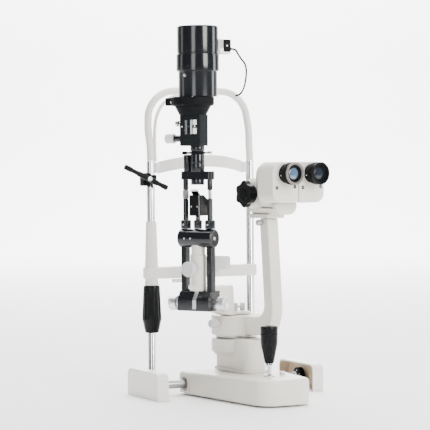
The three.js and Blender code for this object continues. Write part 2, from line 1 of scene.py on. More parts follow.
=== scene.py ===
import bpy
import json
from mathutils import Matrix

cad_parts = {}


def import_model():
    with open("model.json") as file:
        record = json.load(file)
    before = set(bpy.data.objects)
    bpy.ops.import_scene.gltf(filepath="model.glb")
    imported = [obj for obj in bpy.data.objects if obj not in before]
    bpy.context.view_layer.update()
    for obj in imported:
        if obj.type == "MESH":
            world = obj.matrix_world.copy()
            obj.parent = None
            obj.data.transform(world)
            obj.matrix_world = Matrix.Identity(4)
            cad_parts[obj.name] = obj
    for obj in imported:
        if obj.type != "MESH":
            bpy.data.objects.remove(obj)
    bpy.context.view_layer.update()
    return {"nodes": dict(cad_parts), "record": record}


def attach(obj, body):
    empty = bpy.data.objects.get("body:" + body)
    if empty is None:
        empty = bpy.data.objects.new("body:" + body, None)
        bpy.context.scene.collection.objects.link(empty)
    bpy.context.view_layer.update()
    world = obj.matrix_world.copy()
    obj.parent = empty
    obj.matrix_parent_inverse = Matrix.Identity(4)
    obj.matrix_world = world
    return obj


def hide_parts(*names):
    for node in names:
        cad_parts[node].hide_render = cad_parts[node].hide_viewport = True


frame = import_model()
import bpy, bmesh, math, json
from mathutils import Matrix, Vector

NODES = frame["nodes"]
OY = -3.5
AX, AY = 8.0, 40.0
TY = -135.0
PX, PY, PR = 106.7, 173.0, 7.6
STICK = (0.0, -109.0)

# ---------------------------------------------------------------- transforms (mm in, metres out)
def world(yaw=0.0, cx=0.0, cy=0.0):
    return Matrix.Diagonal((0.001, 0.001, 0.001, 1)) @ Matrix.Translation((0, OY, 0)) @ Matrix.Translation((cx, cy, 0)) @ Matrix.Rotation(math.radians(yaw), 4, "Z")
W0 = world()
SC = world(10, AX, AY)
LA = world(-57, AX, AY)
def T(x, y, z): return Matrix.Translation((x, y, z))
RX, RNX = Matrix.Rotation(math.pi / 2, 4, "Y"), Matrix.Rotation(-math.pi / 2, 4, "Y")
RY, RNY = Matrix.Rotation(-math.pi / 2, 4, "X"), Matrix.Rotation(math.pi / 2, 4, "X")

# ---------------------------------------------------------------- camera, light, floor
F, TILT, ROLL, AZ = 1879.455, 1.555, 0.428, -25.972
a, t, ro = map(math.radians, (AZ, TILT, ROLL))
r = Vector((math.cos(a), math.sin(a), 0)); d0 = Vector((-math.sin(a), math.cos(a), 0)); u0 = Vector((0, 0, 1))
d = d0 * math.cos(t) - u0 * math.sin(t); u = u0 * math.cos(t) + d0 * math.sin(t)
r2 = r * math.cos(ro) - u * math.sin(ro); u2 = r * math.sin(ro) + u * math.cos(ro)
cam = bpy.data.objects.new("camera", bpy.data.cameras.new("camera"))
bpy.context.scene.collection.objects.link(cam)
M = Matrix(((r2.x, u2.x, -d.x, 0), (r2.y, u2.y, -d.y, 0), (r2.z, u2.z, -d.z, 0), (0, 0, 0, 1)))
cam.matrix_world = Matrix.Translation((-1.57716, -3.12617 + OY / 1000, 0.43415)) @ M
cam.data.sensor_width = 36; cam.data.lens = F / 430 * 36; cam.data.clip_end = 50
bpy.context.scene.camera = cam

# ---------------------------------------------------------------- materials
MATS = {}
def material(name, color, rough=0.4, metal=0.0, coat=0.0, bump=0.0, scale=200.0, vary=0.03, spec=0.5, detail=3.0, rvary=0.06, alpha=1.0, trans=0.0, ior=1.45):
    m = bpy.data.materials.new(name); m.use_nodes = True
    nt = m.node_tree; b = nt.nodes["Principled BSDF"]
    b.inputs["Metallic"].default_value = metal
    b.inputs["Specular IOR Level"].default_value = spec
    b.inputs["Coat Weight"].default_value = coat
    b.inputs["Coat Roughness"].default_value = 0.08
    b.inputs["IOR"].default_value = ior
    if trans: b.inputs["Transmission Weight"].default_value = trans
    tc = nt.nodes.new("ShaderNodeTexCoord")
    n1 = nt.nodes.new("ShaderNodeTexNoise"); n1.inputs["Scale"].default_value = scale * 0.12; n1.inputs["Detail"].default_value = 4
    nt.links.new(tc.outputs["Object"], n1.inputs["Vector"])
    ramp = nt.nodes.new("ShaderNodeValToRGB")
    c0 = [max(0, c * (1 - vary)) for c in color]; c1 = [min(1, c * (1 + vary)) for c in color]
    ramp.color_ramp.elements[0].position = 0.35; ramp.color_ramp.elements[1].position = 0.65
    ramp.color_ramp.elements[0].color = (*c0, 1); ramp.color_ramp.elements[1].color = (*c1, 1)
    nt.links.new(n1.outputs["Fac"], ramp.inputs["Fac"]); nt.links.new(ramp.outputs["Color"], b.inputs["Base Color"])
    mr = nt.nodes.new("ShaderNodeMapRange"); mr.inputs["To Min"].default_value = max(0.02, rough - rvary); mr.inputs["To Max"].default_value = min(1, rough + rvary)
    nt.links.new(n1.outputs["Fac"], mr.inputs["Value"]); nt.links.new(mr.outputs["Result"], b.inputs["Roughness"])
    if bump:
        n2 = nt.nodes.new("ShaderNodeTexNoise"); n2.inputs["Scale"].default_value = scale; n2.inputs["Detail"].default_value = detail
        nt.links.new(tc.outputs["Object"], n2.inputs["Vector"])
        bp = nt.nodes.new("ShaderNodeBump"); bp.inputs["Strength"].default_value = bump; bp.inputs["Distance"].default_value = 0.0006
        nt.links.new(n2.outputs["Fac"], bp.inputs["Height"]); nt.links.new(bp.outputs["Normal"], b.inputs["Normal"])
    MATS[name] = m
    return m
WHITE = material("white_enamel", (0.66, 0.63, 0.565), 0.42, bump=0.25, scale=1500, vary=0.02, coat=0.15)
WHITE2 = material("white_plastic", (0.69, 0.675, 0.635), 0.36, bump=0.08, scale=900, vary=0.015, coat=0.2)
PODS = material("pod_white", (0.66, 0.64, 0.58), 0.42, bump=0.2, scale=1500, vary=0.02)
TAN = material("cover_inside", (0.52, 0.41, 0.30), 0.6, bump=0.2, scale=500, vary=0.06)
CUP = material("cup_plastic", (0.55, 0.56, 0.57), 0.5, bump=0.1, scale=700)
STEEL = material("rack_steel", (0.55, 0.55, 0.56), 0.34, metal=1.0, bump=0.15, scale=900, vary=0.06)
CHROME = material("chrome_plate", (0.80, 0.80, 0.82), 0.12, metal=1.0, vary=0.02, rvary=0.03)
SATIN = material("satin_chrome", (0.72, 0.72, 0.73), 0.30, metal=1.0, vary=0.03, bump=0.1, scale=1600)
MATTE = material("black_matte", (0.004, 0.0045, 0.005), 0.6, spec=0.08, bump=0.35, scale=1300, vary=0.15)
WRINKLE = material("wrinkle_black", (0.006, 0.008, 0.009), 0.55, spec=0.12, bump=0.7, scale=1900, vary=0.2, detail=6)
BLACK = material("black_gloss", (0.003, 0.0035, 0.004), 0.32, spec=0.16, vary=0.1, bump=0.05, scale=400)
ENAMEL = material("black_enamel", (0.005, 0.006, 0.008), 0.17, coat=0.15, vary=0.1)
JOY = material("grip_black", (0.003, 0.0035, 0.004), 0.24, spec=0.14, vary=0.1)
KNOB = material("knob_white", (0.62, 0.63, 0.64), 0.35, metal=0.0, bump=0.1, scale=900)
GREY = material("grey_plastic", (0.46, 0.47, 0.47), 0.45, bump=0.1, scale=900)
LENS = material("lens_glass", (0.07, 0.12, 0.20), 0.04, coat=1.0, vary=0.1, rvary=0.02, spec=0.9)
# darker, weakly reflecting copy of the lens glass, used only for the right eyepiece lens: painted shade
LENS_SHADED = material("lens_painted_shade", (0.015, 0.02, 0.03), 0.05, coat=0.3, vary=0.1, rvary=0.02, spec=0.35)
MIRROR = material("mirror_glass", (0.62, 0.70, 0.80), 0.05, metal=1.0, vary=0.02, rvary=0.02)
RUBBER = material("lead_rubber", (0.005, 0.005, 0.006), 0.6, spec=0.08, bump=0.1, scale=900)
BRASS = material("scale_plate", (0.62, 0.63, 0.62), 0.35, metal=0.6, vary=0.04)
MARK = material("white_marks", (0.85, 0.85, 0.83), 0.5, vary=0.01)
DIM = material("scale_dim", (0.16, 0.165, 0.17), 0.4, metal=0.3, vary=0.05)
STEELD = material("steel_dark", (0.34, 0.34, 0.35), 0.3, metal=1.0, bump=0.1, scale=900, vary=0.05)
# brown for the axle bushes; on the left eyepiece rim it stands for a painted sheen on a black rim
BROWN = material("ring_brown", (0.16, 0.14, 0.13), 0.45, bump=0.2, scale=900, vary=0.1)
SLOTMAT = {"white_paint": WHITE, "white_plastic": WHITE2, "cup_plastic": CUP, "rack_steel": STEEL, "chrome_plate": CHROME, "black_matte": MATTE,
           "black_gloss": BLACK, "black_enamel": ENAMEL, "grey_plastic": GREY, "lens_glass": LENS, "mirror_glass": MIRROR, "lead_rubber": RUBBER}
SUB = {s["node"]: s["material_slot"] for s in frame["record"]["subparts"]}
for n, o in NODES.items():
    m = SLOTMAT.get(SUB.get(n), WHITE)
    o.data.materials.clear(); o.data.materials.append(m)

BODY = {}
for b, ns in frame["record"]["behaviour"]["bodies"].items():
    for n in ns: BODY[n] = b

# ---------------------------------------------------------------- shape helpers
def soft(pts, n=6):
    out = []; N = len(pts)
    for i in range(N):
        p = pts[i]; x, y = p[0], p[1]; rr = p[2] if len(p) > 2 else 0
        if not rr: out.append((x, y)); continue
        A, B = pts[i - 1], pts[(i + 1) % N]
        ua = Vector((A[0] - x, A[1] - y)); ub = Vector((B[0] - x, B[1] - y)); la, lb = ua.length, ub.length
        ua.normalize(); ub.normalize()
        half = math.acos(max(-1, min(1, ua.dot(ub)))) / 2
        if half > 1.55: out.append((x, y)); continue
        dd = min(rr / math.tan(half), la * 0.49, lb * 0.49)
        p0, p1 = Vector((x, y)) + ua * dd, Vector((x, y)) + ub * dd
        # true arc between the two tangent points
        R = dd * math.tan(half)
        bis = (ua + ub).normalized(); c = Vector((x, y)) + bis * (dd / math.cos(half))
        a0 = math.atan2(p0.y - c.y, p0.x - c.x); a1 = math.atan2(p1.y - c.y, p1.x - c.x)
        da = (a1 - a0 + math.pi) % (2 * math.pi) - math.pi
        for k in range(n + 1):
            an = a0 + da * k / n; out.append((c.x + R * math.cos(an), c.y + R * math.sin(an)))
    return out
def finish_mesh(name, bm, M, mat, body=None, node=None, bevel=0.0, segs=3, sharp=38, also=(), slot=None):
    for v in bm.verts: v.co = M @ v.co
    bmesh.ops.remove_doubles(bm, verts=bm.verts, dist=1e-7)
    bmesh.ops.recalc_face_normals(bm, faces=bm.faces)
    me = bpy.data.meshes.new(name); bm.to_mesh(me); bm.free()
    o = bpy.data.objects.new(name, me); bpy.context.scene.collection.objects.link(o)
    me.materials.append(mat)
    me.shade_smooth(); me.set_sharp_from_angle(angle=math.radians(sharp))
    if bevel:
        mod = o.modifiers.new("edge", "BEVEL"); mod.width = bevel / 1000; mod.segments = segs; mod.limit_method = "ANGLE"; mod.angle_limit = math.radians(40)
        mod.harden_normals = True
    if node:
        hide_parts(node, *also)
    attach(o, body or BODY[node])
    return o
def lathe(name, prof, M, mat, seg=72, fillet=0.5, wave=None, closed=False, **k):
    pts = [tuple(p) + ((fillet,) if len(p) == 2 else ()) for p in prof]
    if not closed:
        full = [(0.0, pts[0][1], 0)] + pts + [(0.0, pts[-1][1], 0)]
        P = soft(full, 3); P = [p for p in P]
    else:
        P = soft(pts, 3)
    bm = bmesh.new(); rings = []
    for (rad, z) in P:
        if rad < 1e-6: rings.append([bm.verts.new((0, 0, z))]); continue
        ring = []
        for i in range(seg):
            an = 2 * math.pi * i / seg; rr = rad
            if wave: rr = wave(rad, z, an)
            ring.append(bm.verts.new((rr * math.cos(an), rr * math.sin(an), z)))
        rings.append(ring)
    L = list(zip(rings, rings[1:])) + ([(rings[-1], rings[0])] if closed else [])
    for A, B in L:
        if len(A) == 1 and len(B) == 1: continue
        for i in range(seg):
            j = (i + 1) % seg
            if len(A) == 1: bm.faces.new((A[0], B[i], B[j]))
            elif len(B) == 1: bm.faces.new((A[i], B[0], A[j]))
            else: bm.faces.new((A[i], B[i], B[j], A[j]))
    return finish_mesh(name, bm, M, mat, **k)
def prism(name, pts, z0, z1, M, mat, n=6, bevel=0.8, **k):
    P = soft(pts, n); bm = bmesh.new()
    lo = [bm.verts.new((x, y, z0)) for x, y in P]; hi = [bm.verts.new((x, y, z1)) for x, y in P]
    bm.faces.new(lo); bm.faces.new(hi); N = len(P)
    for i in range(N): bm.faces.new((lo[i], lo[(i + 1) % N], hi[(i + 1) % N], hi[i]))
    return finish_mesh(name, bm, M, mat, bevel=bevel, **k)
YZ = Matrix(((0, 0, 1, 0), (1, 0, 0, 0), (0, 1, 0, 0), (0, 0, 0, 1)))     # outline (y, z) extruded along x
XZ = Matrix(((1, 0, 0, 0), (0, 0, -1, 0), (0, 1, 0, 0), (0, 0, 0, 1)))    # outline (x, z) extruded toward -y
def prismX(name, pts, x0, x1, M, mat, **k): return prism(name, pts, x0, x1, M @ YZ, mat, **k)
def prismNY(name, pts, d0, d1, M, mat, **k): return prism(name, pts, d0, d1, M @ XZ, mat, **k)
def block(name, x0, x1, y0, y1, z0, z1, M, mat, bevel=0.8, **k):
    return prism(name, [(x0, y0), (x1, y0), (x1, y1), (x0, y1)], z0, z1, M, mat, bevel=bevel, **k)
def rrect(x0, x1, y0, y1, rr): return [(x0, y0, rr), (x1, y0, rr), (x1, y1, rr), (x0, y1, rr)]
def bool_cut(o, cutters, keep_mat=None):
    for i, c in enumerate(cutters):
        mod = o.modifiers.new("cut%d" % i, "BOOLEAN"); mod.operation = "DIFFERENCE"; mod.object = c; mod.solver = "EXACT"
        mod.material_mode = "TRANSFER"
    # bevel after the cuts
    bev = [m for m in o.modifiers if m.type == "BEVEL"]
    dg = bpy.context.evaluated_depsgraph_get()
    for m in bev: m.show_viewport = False
    bpy.context.view_layer.update(); dg = bpy.context.evaluated_depsgraph_get()
    me = bpy.data.meshes.new_from_object(o.evaluated_get(dg))
    for m in [m for m in o.modifiers if m.type == "BOOLEAN"]: o.modifiers.remove(m)
    old = o.data; o.data = me; bpy.data.meshes.remove(old)
    me.shade_smooth(); me.set_sharp_from_angle(angle=math.radians(38))
    for m in bev: m.show_viewport = True
    for c in cutters:
        md = c.data; bpy.data.objects.remove(c); bpy.data.meshes.remove(md)
def cutter(name, bm, M, mat):
    for v in bm.verts: v.co = M @ v.co
    bmesh.ops.recalc_face_normals(bm, faces=bm.faces)
    me = bpy.data.meshes.new(name); bm.to_mesh(me); bm.free(); me.materials.append(mat)
    o = bpy.data.objects.new(name, me); bpy.context.scene.collection.objects.link(o); return o
def cut_prism(pts, z0, z1, M, mat, n=6):
    P = soft(pts, n); bm = bmesh.new()
    lo = [bm.verts.new((x, y, z0)) for x, y in P]; hi = [bm.verts.new((x, y, z1)) for x, y in P]
    bm.faces.new(lo); bm.faces.new(hi); N = len(P)
    for i in range(N): bm.faces.new((lo[i], lo[(i + 1) % N], hi[(i + 1) % N], hi[i]))
    return cutter("cutter", bm, M, mat)
def cut_rod(rad, z0, z1, M, mat, seg=48):
    return cut_prism([(rad * math.cos(2 * math.pi * i / seg), rad * math.sin(2 * math.pi * i / seg)) for i in range(seg)], z0, z1, M, mat)
def sweep(name, path, rad, M, mat, res=14, cyc=False, **k):
    cu = bpy.data.curves.new(name, "CURVE"); cu.dimensions = "3D"; cu.bevel_depth = rad / 1000; cu.bevel_resolution = 6; cu.resolution_u = res; cu.use_fill_caps = True
    sp = cu.splines.new("POLY"); sp.points.add(len(path) - 1)
    for p, q in zip(sp.points, path): v = M @ Vector(q); p.co = (*v, 1)
    o = bpy.data.objects.new(name, cu); bpy.context.scene.collection.objects.link(o); cu.materials.append(mat)
    for s in cu.splines: s.use_smooth = True
    if k.get("node"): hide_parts(k["node"])
    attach(o, k.get("body") or BODY[k["node"]])
    return o
def screw(name, M, mat, body, rad=2.2, h=0.7):
    return lathe(name, [(rad, 0), (rad, h), (rad * 0.4, h + 0.12)], M, mat, seg=24, fillet=0.2, body=body)

# ---------------------------------------------------------------- lamp lead (a free cord between the plug and the arch)
LEAD = [(-34.7, -33.6, 645), (-26.7, -33.1, 643.6), (-17, -24, 637.5), (-2.8, -8, 629.9), (17.9, 16, 621.1), (34.1, 42, 611.2),
        (46.8, 68, 601.1), (60.6, 100, 587.9), (71, 130, 577), (77.5, 155, 570.5), (80, 176.9, 567.7)]
def catmull(P, n):
    out = []; Q = [Vector(p) for p in P]; Q = [Q[0] * 2 - Q[1]] + Q + [Q[-1] * 2 - Q[-2]]
    for i in range(1, len(Q) - 2):
        p0, p1, p2, p3 = Q[i - 1:i + 3]
        t0 = 0; t1 = t0 + (p1 - p0).length ** 0.5; t2 = t1 + (p2 - p1).length ** 0.5; t3 = t2 + (p3 - p2).length ** 0.5
        for k in range(n):
            t = t1 + (t2 - t1) * k / n
            A1 = p0 * ((t1 - t) / (t1 - t0)) + p1 * ((t - t0) / (t1 - t0)); A2 = p1 * ((t2 - t) / (t2 - t1)) + p2 * ((t - t1) / (t2 - t1)); A3 = p2 * ((t3 - t) / (t3 - t2)) + p3 * ((t - t2) / (t3 - t2))
            B1 = A1 * ((t2 - t) / (t2 - t0)) + A2 * ((t - t0) / (t2 - t0)); B2 = A2 * ((t3 - t) / (t3 - t1)) + A3 * ((t - t1) / (t3 - t1))
            out.append(B1 * ((t2 - t) / (t2 - t1)) + B2 * ((t - t1) / (t2 - t1)))
    out.append(Q[-2]); return out
lead_path = catmull(LEAD, 5)
lead = sweep("lamp_lead_visible", lead_path, 1.8, W0, RUBBER, node="lamp_lead")

# ---------------------------------------------------------------- rails
for side, s in (("left", -1), ("right", 1)):
    # shell open toward the base and underneath: outer wall, rim, tan inside, closed outer plate
    O = soft([(0, 0, 0), (0, 51, 13), (139, 51, 13), (139, 0, 0)], 10); I = soft([(3, 0, 0), (3, 48, 10), (136, 48, 10), (136, 0, 0)], 10)
    xa, xb, xi = s * 150.9, s * 173.9, s * 170.9
    bm = bmesh.new(); n = len(O)
    Oa = [bm.verts.new((xa, y, z)) for y, z in O]; Ob = [bm.verts.new((xb, y, z)) for y, z in O]
    Ia = [bm.verts.new((xa, y, z)) for y, z in I]; Ii = [bm.verts.new((xi, y, z)) for y, z in I]
    for k in range(n - 1):
        bm.faces.new((Oa[k], Oa[k + 1], Ob[k + 1], Ob[k])); bm.faces.new((Oa[k], Oa[k + 1], Ia[k + 1], Ia[k]))
        bm.faces.new((Ia[k], Ia[k + 1], Ii[k + 1], Ii[k])).material_index = 1
    bm.faces.new(Ob); bm.faces.new(Ii).material_index = 1
    bm.faces.new((Oa[0], Ob[0], Ii[0], Ia[0])); bm.faces.new((Oa[-1], Ob[-1], Ii[-1], Ia[-1])); bm.faces.new((Ii[0], Ob[0], Ob[-1], Ii[-1]))
    wl = bm.edges.layers.float.new("bevel_weight_edge")
    ring = set(Ob); ra = set(Oa)
    for e in bm.edges:
        if e.verts[0] in ring and e.verts[1] in ring and abs(e.verts[0].co.z) + abs(e.verts[1].co.z) > 0.1: e[wl] = 1.0
        if e.verts[0] in ra and e.verts[1] in ra and abs(e.verts[0].co.z) + abs(e.verts[1].co.z) > 0.1: e[wl] = 0.35
    c = finish_mesh("cover_" + side, bm, W0, WHITE2, node="rail_cover_" + side)
    c.data.materials.append(TAN)
    m = c.modifiers.new("edge", "BEVEL"); m.width = 0.0026; m.segments = 4; m.limit_method = "WEIGHT"; m.harden_normals = True
    # toothed wheel
    N = 44; pts = []
    for i in range(N):
        for f, rr in ((0.05, 16.6), (0.3, 16.6), (0.45, 18.0), (0.8, 18.0)):
            an = 2 * math.pi * (i + f) / N; pts.append((rr * math.cos(an), rr * math.sin(an)))
    wx = s * 158
    wh = prism("gear_" + side, pts, -4.5, 4.5, W0 @ T(wx, 69.6, 21.5) @ RX, MATTE, bevel=0.0, node="wheel_" + side, sharp=30)
    bool_cut(wh, [cut_rod(8.3, -8, 8, W0 @ T(wx, 69.6, 21.5) @ RX, MATTE)])
    for i in range(6):
        an = math.pi / 3 * i
        screw("gear_screw_%s_%d" % (side, i), W0 @ T(wx, 69.6, 21.5) @ (RX if s > 0 else RX) @ T(12 * math.cos(an), 12 * math.sin(an), 4.4 if s < 0 else -5.3), STEEL, "wheel_" + side, 1.5, 0.6)
lathe("axle_bar", [(7, -166, 0), (8, -165, 0), (8, 165, 0), (7, 166, 0)], W0 @ T(0, 69.6, 21.5) @ RX, STEELD, node="axle_shaft", seg=64)
for s in (-1, 1):
    lathe("axle_collar_%d" % s, [(8.0, 146.5), (10.4, 146.5), (10.4, 150.5), (8.0, 150.5)], W0 @ T(0, 69.6, 21.5) @ (RX if s > 0 else RNX), SATIN, closed=True, body="axle", seg=48, slot="chrome_plate")

# ---------------------------------------------------------------- base
def base_shape():
    P = soft([(-50, -185, 36), (50, -185, 36), (86, 56, 30), (86, 100, 10), (-86, 100, 10), (-86, 56, 30)], 14)
    bm = bmesh.new(); N = len(P)
    # rounded top edge built from inset rings, and a height that rises toward negative y
    cen = Vector((sum(p[0] for p in P) / N, sum(p[1] for p in P) / N))
    def ring(inset, z):
        out = []
        for i in range(N):
            p = Vector(P[i]); a_ = Vector(P[i - 1]); b_ = Vector(P[(i + 1) % N])
            tn = (b_ - a_).normalized(); nrm = Vector((-tn.y, tn.x))
            if nrm.dot(cen - p) < 0: nrm = -nrm
            q = p + nrm * inset
            f = (z - 3.2) / 41.8
            out.append(bm.verts.new((q.x, q.y, z + f * ((70 - q.y) * 0.02 - 1))))
        return out
    rings = [ring(2.2, 3.2), ring(0.9, 3.4), ring(0.2, 4.3), ring(0.0, 6.5), ring(0.0, 36)]
    for k in range(1, 9):
        an = math.pi / 2 * k / 8; rings.append(ring(7 * (1 - math.cos(an)), 38 + 7 * math.sin(an)))
    for A, B in zip(rings, rings[1:]):
        for i in range(N):
            j = (i + 1) % N; bm.faces.new((A[i], A[j], B[j], B[i]))
    bm.faces.new(rings[0]); bm.faces.new(rings[-1])
    return bm
base = finish_mesh("base_cover", base_shape(), W0, WHITE, node="base_housing")
AXM = W0 @ T(0, 69.6, 21.5) @ RX
bool_cut(base, [cut_rod(8.5, -120, 120, AXM, MATTE), cut_rod(8, 30, 60, W0 @ T(STICK[0], STICK[1], 0), MATTE)])
# bearing bushes and arched end plates round the axle, one at each end of the base
for s in (-1, 1):
    Ms = AXM if s > 0 else W0 @ T(0, 69.6, 21.5) @ RNX
    lathe("axle_bush_%d" % s, [(8.45, 80), (13.2, 80), (13.2, 87.6), (8.45, 87.6)], Ms, BROWN, closed=True, body="cross_slide_base", seg=56, slot="black_matte")
    prismX("end_plate_%d" % s, [(50.5, 6, 1), (50.5, 41, 17), (88.5, 41, 17), (88.5, 6, 1)], *((86.0, 86.7) if s > 0 else (-86.7, -86.0)), W0, WHITE, bevel=0.25, body="cross_slide_base", slot="white_paint")
    screw("end_screw_%d" % s, W0 @ T(s * 86.7, 84, 10) @ (RX if s > 0 else RNX), STEEL, "cross_slide_base", 1.7, 0.4)
# joystick socket collar
lathe("stick_collar", [(8.0, 45.5), (10.2, 45.5), (10.0, 50.0), (7.6, 50.4)], W0 @ T(STICK[0], STICK[1], 0), SATIN, closed=True, body="cross_slide_base", seg=48, slot="chrome_plate")
lathe("stick_boot", [(4.5, 41.0), (7.6, 41.0), (7.4, 48.0), (5.6, 50.0), (4.5, 50.0)], W0 @ T(STICK[0], STICK[1], 0), RUBBER, body="cross_slide_base", closed=True, seg=48, slot="black_matte")
lathe("slide_pad", [(15, 0.2), (15, 2.9)], W0 @ T(0, -150, 0), MATTE, node="glide_pad", fillet=0.4)
lathe("base_lock_screw", [(5.6, 46.5), (5.6, 52.5), (4.6, 53.5)], W0 @ T(36, -92, 0), WHITE2, body="cross_slide_base", seg=40, slot="white_paint")
# ---------------------------------------------------------------- pedestal
prism("pedestal_foot", [(-18, -41, 9), (36, -41, 9), (42, 78, 10), (-24, 78, 10)], 45.6, 51.6, W0, WHITE, bevel=2.0, segs=4, body="cross_slide_base", slot="white_paint")
prism("pedestal_body", [(-14.5, -36, 7), (32, -36, 7), (38, 75, 8), (-20, 75, 8)], 50, 108.5, W0, WHITE, bevel=2.6, segs=4, node="pedestal")
lathe("pedestal_shoulder", [(40, 76, 1), (47, 84, 1), (47, 106, 1), (46, 106.4, 0.5)], W0 @ T(AX, AY, 0), WHITE, body="cross_slide_base", seg=96, slot="white_paint")
lathe("lift_tube", [(20, 60, 0), (20, 109, 0), (39, 109.2), (40, 110.2), (40, 113), (12, 113), (12, 150.8), (8, 151), (8, 157), (3.2, 157.4), (3.2, 172)], W0 @ T(AX, AY, 0), STEEL, node="lift_column", seg=96)
# ---------------------------------------------------------------- joystick
JM = W0 @ T(STICK[0], STICK[1], 0)
lathe("stick_rod", [(2.6, 42), (2.8, 50.6, 0), (3.5, 51.5), (3.5, 63.6), (6.0, 64.2), (6.6, 65.6), (6.6, 71.9)], JM, CHROME, node="joystick_stem", seg=48)
lathe("stick_handle", [(7.8, 72.3), (8.6, 74.8), (14.8, 104, 5), (15.5, 110, 3), (15.7, 125, 0.3), (16.0, 136.0, 1), (15.0, 139.2, 1.2), (9, 139.8, 0.5), (8.4, 138.6, 0.3)], JM, JOY, node="joystick_grip", seg=72)
lathe("stick_groove", [(15.75, 124.6), (15.85, 126.2)], JM, MATTE, body="joystick_grip", seg=72, fillet=0.2, slot="black_gloss")

# ---------------------------------------------------------------- microscope side
prismX("scope_arm", [(-15, 116, 0), (-112, 117, 40), (-129, 162, 60), (-115, 333.6, 4), (-90, 333.6, 4), (-104, 151, 24), (-15, 150, 0)], -12.5, 12.5, SC, WHITE, n=14, bevel=2.4, segs=4, node="microscope_arm")
lathe("scope_hub", [(45.5, 113.3, 1.5), (47, 115, 1.5), (47, 149, 1.5), (45.5, 150.5, 1.5), (12.6, 150.5, 0), (12.6, 113.3, 0)], SC, WHITE, closed=True, body="microscope", seg=96, slot="white_paint")
lathe("lock_knob_arm", [(3, 46.9), (3, 51), (7.6, 51.3), (7.6, 66.5), (6.6, 68)], SC @ T(0, -10, 137) @ RNX, GREY, node="arm_lock_knob", seg=64, wave=lambda q, z, an: q * (1 + (0.035 * math.cos(12 * an) if q > 7 and 52 < z < 66 else 0)))
# the arm hub carries a second lock knob on its front, with a threaded shank; only its frame is set up here, nothing is
# built on it
KM = SC @ Matrix.Rotation(math.radians(-62), 4, "Z") @ T(0, 0, 0)
prism("scope_platform", rrect(-20, 20, -126, -68, 4), 334.2, 341.8, SC, WHITE, bevel=1.2, node="microscope_platform")
def bowl(top, r=18.0, f=7.0, zc=358.6):
    p0 = math.asin(max(0.0, (zc - top) / r)); side = [(f + r, top)] if top > zc else []
    side += [(f + r * math.cos(p0 + (math.pi / 2 - p0) * i / 20), zc - r * math.sin(p0 + (math.pi / 2 - p0) * i / 20)) for i in range(21)]
    return [(-x, z) for x, z in side] + side[::-1]
prismNY("scope_focus_block", bowl(352.6), 74.5, 150, SC, WHITE, bevel=0.6, body="microscope", slot="white_paint")
prismNY("scope_focus_lip", bowl(362.2), 145.5, 156, SC, WHITE, bevel=2.6, segs=5, body="microscope", slot="white_paint")
lathe("platform_thumbscrew", [(2, 12.9), (2, 16), (5.5, 16.2), (5.5, 25), (4.7, 26)], SC @ T(0, -101, 326) @ RNX, STEEL, node="platform_screw", seg=48)
prismNY("scope_body", [(-34, 366, 16), (-20, 353.1, 12), (20, 353.1, 12), (34, 366, 16), (34, 434, 20), (-34, 434, 20)], 107.3, 145, SC, WHITE, n=8, bevel=3.0, segs=5, node="microscope_body")
prismNY("scope_drum", [(-37, 353.3, 14), (37, 353.3, 14), (37, 408, 18), (-37, 408, 18)], 76, 111, SC, WHITE, n=8, bevel=2.2, segs=4, body="microscope", slot="white_paint")
lathe("objective_ring", [(14.3, 62), (24, 62), (25, 64), (25, 75.7), (14.3, 75.7)], SC @ T(0, 0, 379) @ RNY, ENAMEL, closed=True, node="objective_barrel", seg=80)
lathe("objective_glass", [(5, 63.4, 2), (11, 64.2, 2), (14, 66.5), (14, 74)], SC @ T(0, 0, 379) @ RNY, LENS, node="objective_lens", seg=64)
N = 96
kn = [((22.6 + 2.2 * math.cos(6 * 2 * math.pi * i / N)) * math.cos(2 * math.pi * i / N), (22.6 + 2.2 * math.cos(6 * 2 * math.pi * i / N)) * math.sin(2 * math.pi * i / N)) for i in range(N)]
prism("zoom_knob", kn, 44, 56.8, SC @ T(0, -100, 379) @ RNX, BLACK, bevel=1.6, segs=4, node="magnification_knob", sharp=50)
lathe("zoom_hub", [(17.5, 37.4), (17.5, 42), (20, 43.6)], SC @ T(0, -100, 379) @ RNX, MATTE, body="magnification_knob", seg=64, slot="black_matte")
lathe("zoom_cap", [(11, 56.6), (11, 57.4), (10, 57.7)], SC @ T(0, -100, 379) @ RNX, MATTE, body="magnification_knob", seg=64, slot="black_matte")
